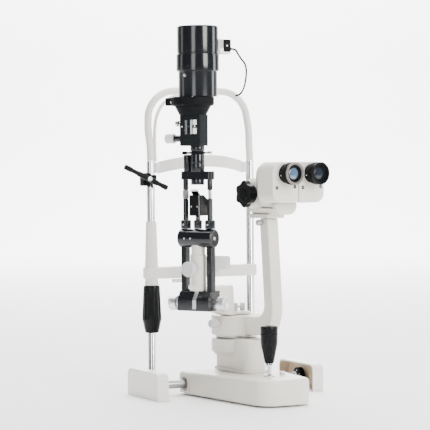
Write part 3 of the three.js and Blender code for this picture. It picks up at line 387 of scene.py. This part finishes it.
for side, s in (("left", -1), ("right", 1)):
    pod = [(s * 58.8, 363, 18), (s * 58.8, 437, 20), (s * 0.7, 437, 6), (s * 0.7, 363, 8)]
    bd = "eyepiece_pod_" + side
    prismNY("pod_" + side, pod, 145.4, 193, SC, PODS, n=12, bevel=3.0, segs=5, node="prism_housing_" + side)
    for i, (dx, dz) in enumerate(((-21, 390.5), (20, 392))):
        lathe("pod_screw_%s_%d" % (side, i), [(3.3, 0), (3.3, 0.35), (2.6, 0.4), (2.5, 0.15)], SC @ T(s * 29.6 + dx, -192.9, dz) @ RNY, MATTE, seg=32, fillet=0.1, body=bd, slot="black_matte")
        screw("pod_screw_head_%s_%d" % (side, i), SC @ T(s * 29.6 + dx, -192.95, dz) @ RNY, STEEL, bd, 0.9, 0.5)
    E = SC @ T(s * 29, 0, 416) @ RNY
    lathe("ocular_tube_" + side, [(17.5, 193.2), (17.5, 203), (19.6, 203.4), (19.6, 205.8)], E, MATTE, node="eyepiece_tube_" + side, seg=80)
    lathe("ocular_ring_" + side, [(13.7, 206.1, 0), (20.0, 206.1), (20.4, 207.4), (20.4, 217.4, 0.3), (13.7, 217.4, 0)], E, MATTE, closed=True, node="dioptre_ring_" + side, seg=120,
          wave=lambda q, z, an: q * (1 - (0.014 * (0.5 + 0.5 * math.cos(60 * an)) if q > 20.1 and 208 < z < 216.5 else 0)))
    # the two eyepieces are alike: the left rim is drawn brown instead of black, a painted sheen, and the right lens
    # gets the darker copy of the lens glass, a painted shade
    lathe("ocular_rim_" + side, [(14.0, 214.2, 0.6), (17.6, 217.3, 0), (20.4, 217.3, 0), (20.4, 219.6, 1.0), (19.2, 220.9, 1.2), (17.2, 221.0, 0.8)], E, BROWN if s < 0 else BLACK, closed=True, body="dioptre_ring_" + side, seg=96, slot="black_matte")
    lathe("ocular_baffle_" + side, [(10.6, 213.0, 0.2), (13.3, 213.4, 0.2), (13.6, 215.6, 0.2), (13.0, 215.8, 0.2), (10.4, 214.4, 0.2)], E, MATTE, closed=True, body=bd, seg=72, slot="black_matte")
    lathe("ocular_glass_" + side, [(13.1, 207), (13.1, 212.2), (10, 213.9, 4), (4, 214.9, 3)], E, LENS if s < 0 else LENS_SHADED, node="eye_lens_" + side, seg=64)
    # small white diamond mark that shows the dioptre setting, on the tube
    prism("dioptre_mark_" + side, [(0, -1.3), (1.3, 0), (0, 1.3), (-1.3, 0)], 0, 0.25, SC @ T(s * 29, 0, 416) @ Matrix.Rotation(math.radians(-12), 4, "Y") @ T(-17.45, -199.5, 0) @ RNX, MARK, bevel=0, body=bd, slot="white_plastic")

# ---------------------------------------------------------------- illumination side
prismX("lamp_arm_web", [(-15, 151.3, 0), (-40, 151.3, 14), (-113.4, 168, 0), (-113.4, 206, 4), (-31, 208, 6), (-26, 158, 3), (-15, 156.5, 0)], -13, 13, LA, WHITE, n=8, bevel=2.2, segs=4, node="illumination_arm")
lathe("lamp_arm_hub", [(26, 151.3), (27, 152.3), (27, 155.5), (26, 156.5), (8.6, 156.5, 0), (8.6, 151.3, 0)], LA, WHITE, closed=True, body="lamp_arm", seg=80, slot="white_paint")
H31 = LA @ Matrix.Rotation(math.radians(31), 4, "Z")
lathe("hub_knob", [(2, 3.6), (2, 7), (7.6, 7.3), (7.6, 15.5), (6.6, 17)], H31 @ T(0, 0, 165) @ RX, GREY, node="hub_lock_knob", seg=64)
prismX("block_body", [(-113.8, 167, 1), (-156, 167, 3), (-156, 188, 3), (-146, 203, 3), (-113.8, 203, 1)], -33, 33, LA, ENAMEL, bevel=1.3, segs=4, node="tower_block")
block("block_strip", 0, 7.5, -156.9, -155.5, 171, 187.5, LA, SATIN, bevel=0.3, body="lamp_arm", slot="chrome_plate")
prismX("block_strip_top", [(-155.6, 188.6), (-156.3, 189.2), (-146.9, 203.2), (-146.0, 202.6)], 0, 7.5, LA, SATIN, bevel=0.2, body="lamp_arm", slot="chrome_plate")
for side, s in (("left", -1), ("right", 1)):
    K = LA @ T(0, TY, 180) @ (RX if s > 0 else RNX)
    lathe("width_knob_" + side, [(9, 33.3), (9, 42.8), (12.6, 43.1), (13.5, 44.2), (13.5, 57.6), (12.6, 58.9), (9.5, 59.0), (9.0, 57.8), (2.6, 57.8), (2.4, 57.0)], K, SATIN, node="slit_width_knob_" + side, seg=180,
          wave=lambda q, z, an: q * (1 + (0.018 * math.cos(36 * an) if q > 13 and 44.4 < z < 57.5 else 0)))
    block("leg_" + side, *((22, 32) if s > 0 else (-32, -22)), TY - 8, TY + 8, 202.5, 288, LA, ENAMEL, bevel=1.2, body="lamp_arm", slot="black_enamel")
    lathe("tower_pole_" + side, [(9.3, 316.3), (9.3, 331.2), (8.2, 332.2), (4.9, 332.6), (4.9, 371), (2.9, 371.4), (2.9, 387), (4.9, 387.4), (4.9, 407)],
          LA @ T(s * 25.8, TY, 0), ENAMEL, node="tower_rod_" + side, seg=64)
    lathe("pole_neck_" + side, [(5.4 if s < 0 else 3.1, 371.6), (5.4 if s < 0 else 3.1, 386.8)], LA @ T(s * 25.8, TY, 0), DIM if s < 0 else STEELD, body="lamp_tower", seg=56, slot="chrome_plate")
    lathe("pole_band_" + side, [(5.1, 344.0), (5.1, 345.4)], LA @ T(s * 25.8, TY, 0), ENAMEL, body="lamp_tower", seg=56, fillet=0.2, slot="chrome_plate")
    lathe("pole_collar_" + side, [(9.2, 316.4), (9.6, 316.8), (9.6, 330.6), (9.2, 331.4)], LA @ T(s * 25.8, TY, 0), ENAMEL, body="lamp_tower", seg=64, slot="black_enamel")
    screw("collar_screw_" + side, LA @ T(s * 25.8, TY - 9.4, 324) @ RNY, STEEL, "lamp_tower", 1.8, 0.4)
lathe("tower_mast", [(14.4, 203.3), (14.4, 268, 2), (12.6, 270, 1), (12.6, 287)], LA @ T(0, TY, 0), WHITE, node="tower_column", seg=72)
lathe("mast_stop_knob", [(2, 148), (2, 158), (4.6, 158.3), (4.6, 163), (3.8, 164)], LA @ T(0, 0, 211.5) @ RNY, WHITE2, body="lamp_arm", seg=40, slot="white_paint")
lathe("tilt_drum", [(12.5, -34.6, 0.4), (13, -35.5, 0.4), (15.8, -35.5, 1), (17, -34.2, 1), (17, 34.2, 1), (15.8, 35.5, 1), (13, 35.5, 0.4), (12.5, 34.6, 0.4)], LA @ T(0, TY, 299) @ RX, ENAMEL, node="tilt_barrel", seg=96)
for s in (-1, 1): lathe("drum_screw_%d" % s, [(3.4, 34.5), (3.4, 35.4), (2, 35.6)], LA @ T(0, TY, 299) @ (RX if s > 0 else RNX), STEEL, body="lamp_arm", seg=40, slot="chrome_plate")
for x in (-20, -7): lathe("drum_dot_%d" % x, [(1.9, 0), (1.9, 0.35)], LA @ T(x, TY - 16.85, 299) @ RNY, STEEL, body="lamp_arm", seg=24, fillet=0.1, slot="chrome_plate")
lathe("round_grey_knob", [(9, 149.3), (9, 159.8), (12.8, 160.2), (13.8, 161.6), (13.8, 171.4), (12.4, 173), (8, 173.4, 1)], LA @ T(0, 0, 244) @ RNY, GREY, node="column_lock_knob", seg=120,
      wave=lambda q, z, an: q * (1 + (0.012 * math.cos(24 * an) if q > 13 and 161.8 < z < 171 else 0)))
# tilting tower
lathe("mirror_post", [(7.6, 316.3), (7.6, 331.3), (6.8, 332.2), (4.2, 332.6), (4.2, 341)], LA @ T(0, TY, 0), ENAMEL, body="lamp_tower", seg=56, slot="black_enamel")
prismX("mirror_seat", [(TY - 13, 340, 1), (TY + 13, 340, 1), (TY + 13, 356, 1), (TY - 9, 378, 1), (TY - 13, 378, 1)], -10, 10, LA, MATTE, bevel=0.8, node="mirror_holder")
for s in (-1, 1):
    prismX("mirror_cheek_%d" % s, [(TY - 13, 340, 1), (TY + 22, 340, 1), (TY + 22, 367, 2), (TY + 4, 378, 3), (TY - 13, 378, 1)], *((7.8, 10.4) if s > 0 else (-10.4, -7.8)), LA, ENAMEL, bevel=0.5, body="lamp_tower", slot="black_enamel")
block("mirror_edge_strip", 10.1, 10.7, TY - 13.3, TY - 12.2, 341, 377, LA, SATIN, bevel=0.1, body="lamp_tower", slot="chrome_plate")
for dx in (-6.2, 6.2): lathe("seat_dot_%d" % dx, [(1.5, 0), (1.5, 0.35)], LA @ T(dx, TY - 12.9, 357) @ RNY, STEEL, body="lamp_tower", seg=24, fillet=0.1, slot="chrome_plate")
prismX("mirror_plate", [(TY - 15, 386.9), (TY + 15.5, 356.4), (TY + 17.2, 358.1), (TY - 13.3, 388.6)], -7.5, 7.5, LA, MIRROR, bevel=0.3, node="mirror")
prism("bracket_plate", [(-34, TY - 8.5, 8.4), (34, TY - 8.5, 8.4), (34, TY + 8.5, 8.4), (-34, TY + 8.5, 8.4)], 405.9, 421, LA, ENAMEL, n=10, bevel=0.9, node="projection_tube")
lathe("tube_mouth", [(9.5, 396.4), (12.2, 396.4), (12.2, 406.5), (9.5, 406.5)], LA @ T(0, TY, 0), ENAMEL, closed=True, body="lamp_tower", seg=64, slot="black_enamel")
lathe("tube_glass", [(9.4, 398.6, 1), (9.4, 403)], LA @ T(0, TY, 0), LENS, body="lamp_tower", seg=48, slot="lens_glass")
lathe("tube_main", [(12.8, 420), (12.8, 434), (12.4, 434.6), (12.4, 436), (12.8, 436.6), (12.8, 452)], LA @ T(0, TY, 0), ENAMEL, body="lamp_tower", seg=80, slot="black_enamel")
lathe("tube_filter", [(7.6, 420), (7.6, 450.4), (6.6, 451.4)], LA @ T(-21, TY, 0), ENAMEL, body="lamp_tower", seg=56, slot="black_enamel")
lathe("rotation_ring", [(11.4, 452.3, 0), (12.9, 452.3), (14, 452.6), (14, 456.7), (12.9, 457.0), (11.4, 457.0, 0)], LA @ T(0, TY, 0), MATTE, closed=True, node="slit_rotation_ring", seg=80)
lathe("tube_core", [(11.0, 449), (11.0, 461)], LA @ T(0, TY, 0), MATTE, body="lamp_tower", seg=64, slot="black_enamel")
for s in (-1, 1):
    lathe("rotation_pin_%d" % s, [(1.9, 12), (1.9, 23), (2.9, 23.4), (2.9, 30.4 if s > 0 else 32)], LA @ T(0, TY, 454.7) @ (RX if s > 0 else RNX), MATTE if s < 0 else CHROME, body="slit_rotation", seg=32, slot="black_matte")
lathe("tube_upper", [(12.8, 457.4), (12.8, 468)], LA @ T(0, TY, 0), ENAMEL, body="lamp_tower", seg=80, slot="black_enamel")
prism("slit_box", rrect(-23, 20.5, TY - 25, TY + 5, 2.5), 467.3, 524, LA, WRINKLE, bevel=1.2, segs=4, node="slit_housing")
F_ = TY - 25
block("scale_panel", -11, 15.5, F_ - 1.1, F_ + 0.5, 487.5, 515.2, LA, ENAMEL, bevel=0.4, body="lamp_tower", slot="black_enamel")
block("scale_strip_a", -10.2, -5.6, F_ - 1.4, F_ - 0.9, 488.6, 514.2, LA, DIM, bevel=0.1, body="lamp_tower", slot="white_plastic")
block("scale_strip_b", 6.6, 14.6, F_ - 1.4, F_ - 0.9, 505.2, 514.2, LA, MARK, bevel=0.1, body="lamp_tower", slot="white_plastic")
block("scale_strip_c", 6.6, 14.6, F_ - 1.4, F_ - 0.9, 489.0, 499.4, LA, MARK, bevel=0.1, body="lamp_tower", slot="white_plastic")
block("scale_strip_d", 1.2, 5.0, F_ - 1.4, F_ - 0.9, 488.6, 514.2, LA, GREY, bevel=0.1, body="lamp_tower", slot="grey_plastic")
for i in range(9): block("scale_tick_%d" % i, -10.0, -7.4 if i % 2 else -6.4, F_ - 1.55, F_ - 1.35, 490 + 2.9 * i, 490.5 + 2.9 * i, LA, MATTE, bevel=0, body="lamp_tower", slot="black_matte")
for x, m in ((-17, MARK), (-2.5, LENS), (10.6, MARK)): lathe("panel_dot_%d" % int(x), [(1.3, 0), (1.3, 0.5)], LA @ T(x, F_ - (0.0 if x < -11 else 1.1), 502.3) @ RNY, m, body="lamp_tower", seg=24, fillet=0.1, slot="white_plastic")
lathe("length_lever", [(2, 23.2), (2, 32.8), (5.4, 33.3), (5.4, 38), (4.6, 39)], LA @ T(0, TY - 10, 508) @ RNX, CHROME, node="slit_length_lever", seg=56)
lathe("length_boss", [(6, 22), (6, 41.9)], LA @ T(0, TY - 10, 481) @ RNX, ENAMEL, body="lamp_tower", seg=56, slot="black_enamel")
lathe("length_knob", [(8.0, 42.3), (8.8, 43.3), (8.8, 58.8), (8.0, 59.8), (5.6, 60.0)], LA @ T(0, TY - 10, 481) @ RNX, KNOB, node="slit_length_knob", seg=144,
      wave=lambda q, z, an: q * (1 + (0.028 * math.cos(30 * an) if q > 8.5 and 43.8 < z < 58.4 else 0)))
lathe("condenser", [(24, 523), (25, 524.3), (33, 539.5)], LA @ T(-3, TY - 10, 0), MATTE, body="lamp_tower", seg=96, slot="black_enamel")
lathe("aperture_ring", [(36.2, 539.8, 1), (38.8, 542.4, 1), (38.8, 554.6, 1), (37.6, 555.8, 1)], LA @ T(-3, TY - 10, 0), MATTE, node="aperture_disc", seg=120)
prism("aperture_tab", [(-58, TY - 18, 3), (-20, TY - 30, 0), (-20, TY + 10, 0), (-58, TY - 2, 3)], 541, 555.5, LA, MATTE, bevel=1.2, body="aperture", slot="black_matte")
for i, an in enumerate((-150, -100, -60)):
    q = math.radians(an); lathe("flange_mark_%d" % i, [(1.8, 555.6), (1.8, 556.0)], LA @ T(-3 + 37.0 * math.cos(q), TY - 10 + 37.0 * math.sin(q), 0), CHROME, body="aperture", seg=24, fillet=0.1, slot="chrome_plate")
screw("tab_screw", LA @ T(-40, TY - 25.6, 547) @ Matrix.Rotation(math.radians(-18), 4, "Z") @ RNY, CHROME, "aperture", 1.9, 0.6)
C = LA @ T(3.2, TY - 2, 0)
lathe("lamp_lower", [(34.6, 556.2), (35.3, 557), (35.3, 602.2, 0.4), (38.9, 602.9, 0.4), (38.9, 633.4, 0.4)], C, ENAMEL, node="lamp_housing", seg=160)
lathe("lamp_upper", [(36.2, 633.7), (36.2, 635.6, 0.3), (37.4, 636.2, 0.3), (37.4, 682.4, 0.8), (36.4, 684.3, 0.8), (33, 685.0, 0.8), (31, 684.2, 0.4)], C, ENAMEL, node="lamp_cap", seg=160)
screw("lamp_screw", C @ Matrix.Rotation(math.radians(-99.5), 4, "Z") @ T(35.1, 0, 594.5) @ RX, CHROME, "lamp_tower", 2.9, 0.9)
D = C @ Matrix.Rotation(math.pi / 3, 4, "Z")
block("socket_plate", 30, 47.7, -12, 12, 634.6, 661.6, D, STEELD, bevel=1.4, body="lamp_tower", slot="white_paint")
block("socket_step", 40, 47.4, -12.5, -11.6, 636, 645, D, SATIN, bevel=0.3, body="lamp_tower", slot="chrome_plate")
block("plug_body", 48, 64, -11, 11, 639.2, 661.4, D, MATTE, bevel=1.6, node="lamp_plug")
block("plug_foot", 48, 63.6, -10.8, 10.8, 635, 638.9, D, SATIN, bevel=0.8, body="lamp_tower", slot="chrome_plate")
screw("plug_screw", D @ T(55.5, -10.9, 650) @ RNY, ENAMEL, "lamp_tower", 2.6, 0.6)
screw("plug_screw_in", D @ T(55.5, -11.4, 650) @ RNY, CHROME, "lamp_tower", 1.2, 0.5)
lathe("lead_relief", [(3.6, 62), (3.6, 65, 0.5), (2.9, 69.4, 0.4), (2.2, 69.9, 0.1)], D @ T(0, 0, 645) @ RX, RUBBER, body="lamp_tower", seg=40, slot="lead_rubber")

# ---------------------------------------------------------------- headrest
for side, s in (("left", -1), ("right", 1)):
    lathe("post_" + side, [(20, 0), (20, 5), (18, 7), (7.6, 7), (7.6, 441)], W0 @ T(s * PX, PY, 0), CHROME, node="headrest_post_" + side, seg=64)
def lean(z): return PY + 12 * min(1, max(0, (z - 455) / 75))
arch = [(-PX, PY, 441.4), (-PX, PY, 448), (-PX, lean(470), 470), (-PX - 1.5, lean(500), 500)]
for i in range(7):
    an = math.pi - i * math.pi / 12; z = 520 + 56 * math.sin(an); arch.append((-PX + 56 + 56 * math.cos(an), lean(z), z))
arch += [(-20, lean(576), 576), (20, lean(576), 576)]
for i in range(7):
    an = math.pi / 2 - i * math.pi / 12; z = 520 + 56 * math.sin(an); arch.append((PX - 56 + 56 * math.cos(an), lean(z), z))
arch += [(PX + 1.5, lean(500), 500), (PX, lean(470), 470), (PX, PY, 448), (PX, PY, 441.4)]
sweep("arch_tube", [tuple(p) for p in catmull(arch, 7)], 7.0, W0, WHITE2, node="headrest_arch")
inner = [(-97, 173, 439.4), (-97.6, 173, 455), (-98.4, 172, 480), (-98.6, 170, 505), (-95.5, 168, 526), (-86, 167, 546), (-71, 168, 559), (-54, 172, 566), (-40, 178, 569)]
sweep("inner_arch_wire", [tuple(p) for p in catmull(inner, 6)], 3.2, W0, WHITE2, body="table_frame")
# forehead band: a shallow curved strap, a little higher in the middle
bm = bmesh.new(); n = 48; cols = []
for i in range(n + 1):
    tt = -1 + 2 * i / n; x = 91 * tt; y = PY - 26 * (1 - tt * tt); lift = 12.5 * (1 - tt * tt)
    ring = []
    for k in range(16):
        an = 2 * math.pi * k / 16; hz = 11.4; th = 1.7
        cx = math.copysign(abs(math.cos(an)) ** 0.55, math.cos(an)) * th; cz = math.copysign(abs(math.sin(an)) ** 0.55, math.sin(an)) * hz
        ring.append(bm.verts.new((x, y + cx, 428.0 + lift + cz)))
    cols.append(ring)
for A, B in zip(cols, cols[1:]):
    for k in range(16): bm.faces.new((A[k], A[(k + 1) % 16], B[(k + 1) % 16], B[k]))
bm.faces.new(cols[0]); bm.faces.new(cols[-1])
finish_mesh("forehead_strap", bm, W0, WHITE2, node="forehead_band", sharp=60)
for s in (-1, 1):
    block("strap_lug_%d" % s, *((88.5, 98.6) if s > 0 else (-98.6, -88.5)), PY - 4, PY + 4, 418, 438, W0, WHITE2, bevel=1.0, body="table_frame", slot="white_plastic")
# chin rest
prism("chin_bar", rrect(-122, 117.5, PY - 13, PY + 13, 9), 214.5, 237, W0, WHITE2, n=10, bevel=2.6, segs=4, node="chinrest_bar")
prism("chin_stalk", rrect(-12, 12, PY - 50, PY - 8, 5), 219, 230, W0, WHITE2, bevel=1.6, body="chin_rest", slot="white_plastic")
lathe("sleeve_upper", [(8.0, 236.5, 0), (12.8, 236.5), (12.6, 240), (10.4, 318, 2), (9.6, 325, 1), (8.0, 325, 0)], W0 @ T(-PX, PY, 0), WHITE2, closed=True, body="chin_rest", seg=72, slot="white_plastic")
lathe("sleeve_lower", [(8.0, 202, 0), (13.3, 202), (13.3, 206), (12, 215), (8.0, 215, 0)], W0 @ T(-PX, PY, 0), WHITE2, closed=True, body="chin_rest", seg=72, slot="white_plastic")
block("paper_tray", -70, -44, PY - 16.5, PY - 12.5, 206.5, 213.5, W0, SATIN, bevel=0.8, body="chin_rest", slot="chrome_plate")
# chin cup with a dished top
bm = bmesh.new(); P = soft([(-38, 108, 20), (38, 108, 20), (38, 152, 14), (-38, 152, 14)], 10); N = len(P)
cen = Vector((0, 130))
def cring(f, z=None, dish=False):
    out = []
    for q in P:
        v = cen + (Vector(q) - cen) * f
        zz = z if z is not None else max(242.4, 302 - math.sqrt(max(1, 3600 - v.x ** 2 - (v.y - 128) ** 2)))
        out.append(bm.verts.new((v.x, v.y, min(zz, 255.6) if dish else zz)))
    return out
R_ = [cring(0.93, 230.3), cring(0.98, 231.6), cring(1.0, 234), cring(1.0, 252), cring(0.985, 255), cring(0.95, 255.9)] + [cring(f, None, True) for f in (0.9, 0.82, 0.74, 0.64, 0.52, 0.4, 0.28, 0.16)]
for A, B in zip(R_, R_[1:]):
    for i in range(N): bm.faces.new((A[i], A[(i + 1) % N], B[(i + 1) % N], B[i]))
bm.faces.new(R_[0]); bm.faces.new(R_[-1])
finish_mesh("chin_dish", bm, W0, CUP, node="chin_cup", sharp=50)
# fluted height knob
def flute(q, z, an):
    if q > 16.4 and 138 < z < 195: return q - 1.3 * (0.5 + 0.5 * math.cos(12 * an)) ** 2 * min(1, (z - 138) / 6, (195 - z) / 6)
    return q
bm_prof = [(8.0, 111, 0), (12.6, 111), (13.4, 113), (17.4, 132, 3), (18.6, 136, 3)] + [(18.6 - 2.6 * (z - 138) / 58, z, 0) for z in range(139, 197, 4)] + [(15.6, 199, 1), (15.2, 201.4, 0.6), (8.0, 201.4, 0)]
lathe("fluted_knob", bm_prof, W0 @ T(-PX, PY, 0), BLACK, closed=True, node="chinrest_height_knob", seg=144, wave=flute)
# fixation target
block("fixation_block", -127.5, -112.8, PY - 12, PY + 6, 393, 418, W0, MATTE, bevel=1.4, node="fixation_clamp")
lathe("fixation_ring", [(7.9, 397, 0), (11.2, 397), (11.2, 414), (7.9, 414, 0)], W0 @ T(-PX, PY, 0), MATTE, closed=True, body="fixation_swing", seg=56, slot="black_matte")
lathe("fixation_pin", [(3.2, 11.5), (3.2, 18.4)], W0 @ T(-121.7, PY, 407) @ RNY, SATIN, body="fixation_swing", seg=40, slot="chrome_plate")
lathe("fixation_hinge", [(4.6, 30.4), (4.6, 31.4), (3.4, 32.0)], W0 @ T(-121.7, PY, 407) @ RNY, SATIN, body="fixation_target", seg=40, slot="chrome_plate")
A_, B_ = Vector((-171, 148, 430.2)), Vector((-84, 148, 388.9)); ln = (B_ - A_).length; h = ln / 2
Q = T(*((A_ + B_) / 2)) @ (B_ - A_).normalized().to_track_quat("Z", "Y").to_matrix().to_4x4()
lathe("fixation_rod", [(4.9, -h), (5, -h + 15), (4.2, -h + 16), (4.2, -h + 30), (5.2, -h + 31), (5.2, h - 22), (4.4, h - 21), (4.4, h - 11), (5, h - 10), (5, h)], W0 @ Q, BLACK, node="fixation_arm", seg=56)

# ---------------------------------------------------------------- floor and light
bm = bmesh.new(); prof = [(-9, 0), (5.4, 0), (6.0, 0.06), (6.5, 0.25), (6.8, 0.6), (6.9, 1.0), (6.9, 8)]
rows = [[bm.verts.new((x, y, z - 0.0004)) for x in (-12, 12)] for y, z in prof]
for A, B in zip(rows, rows[1:]): bm.faces.new((A[0], A[1], B[1], B[0]))
me = bpy.data.meshes.new("floor"); bm.to_mesh(me); bm.free(); me.shade_smooth()
floor = bpy.data.objects.new("floor", me); bpy.context.scene.collection.objects.link(floor)
me.materials.append(material("floor", (0.93, 0.93, 0.93), 0.8, vary=0.0, rvary=0.0))
# turn the sweep so that it stands square to the camera
floor.matrix_world = Matrix.Rotation(math.radians(-26), 4, "Z") @ Matrix.Translation((0, 0.4, 0))
world_ = bpy.data.worlds.new("studio"); bpy.context.scene.world = world_; world_.use_nodes = True
world_.node_tree.nodes["Background"].inputs[0].default_value = (1.0, 1.0, 1.0, 1); world_.node_tree.nodes["Background"].inputs[1].default_value = 0.20
def area(name, loc, target, size, power, col=(1, 1, 1)):
    l = bpy.data.lights.new(name, "AREA"); l.shape = "RECTANGLE"; l.size = size[0]; l.size_y = size[1]; l.energy = power; l.color = col
    o = bpy.data.objects.new(name, l); bpy.context.scene.collection.objects.link(o)
    o.location = loc; o.rotation_euler = (Vector(target) - Vector(loc)).to_track_quat("-Z", "Y").to_euler(); return o
toward, right = Vector((math.sin(a), -math.cos(a), 0)), Vector((math.cos(a), math.sin(a), 0))
def around(phi, dist, z): q = math.radians(phi); v = (toward * math.cos(q) + right * math.sin(q)) * dist; return (v.x, v.y, z)
area("strip_left", around(-24, 2.2, 0.95), (0, 0, 0.38), (0.7, 1.5), 22, (0.97, 0.985, 1.0))
area("strip_right", around(40, 2.2, 1.15), (0, 0, 0.38), (0.9, 1.5), 78, (1.0, 0.985, 0.96))
area("strip_side", around(100, 2.0, 0.8), (0, 0, 0.38), (0.6, 1.4), 22)
area("left_side", around(-95, 2.2, 0.9), (0, 0, 0.38), (0.5, 1.4), 5)
area("top", (0, 0.2, 2.6), (0, 0, 0), (2.2, 2.2), 120)
bk = -toward
area("backdrop_light", tuple(bk * 5.0 + Vector((0, 0, 4.0))), tuple(bk * 7.2 + Vector((0, 0, 0.9))), (5.0, 1.4), 1100)
area("floor_light", tuple(bk * 2.6 + Vector((0, 0, 3.6))), tuple(bk * 3.6), (4.0, 2.0), 330)
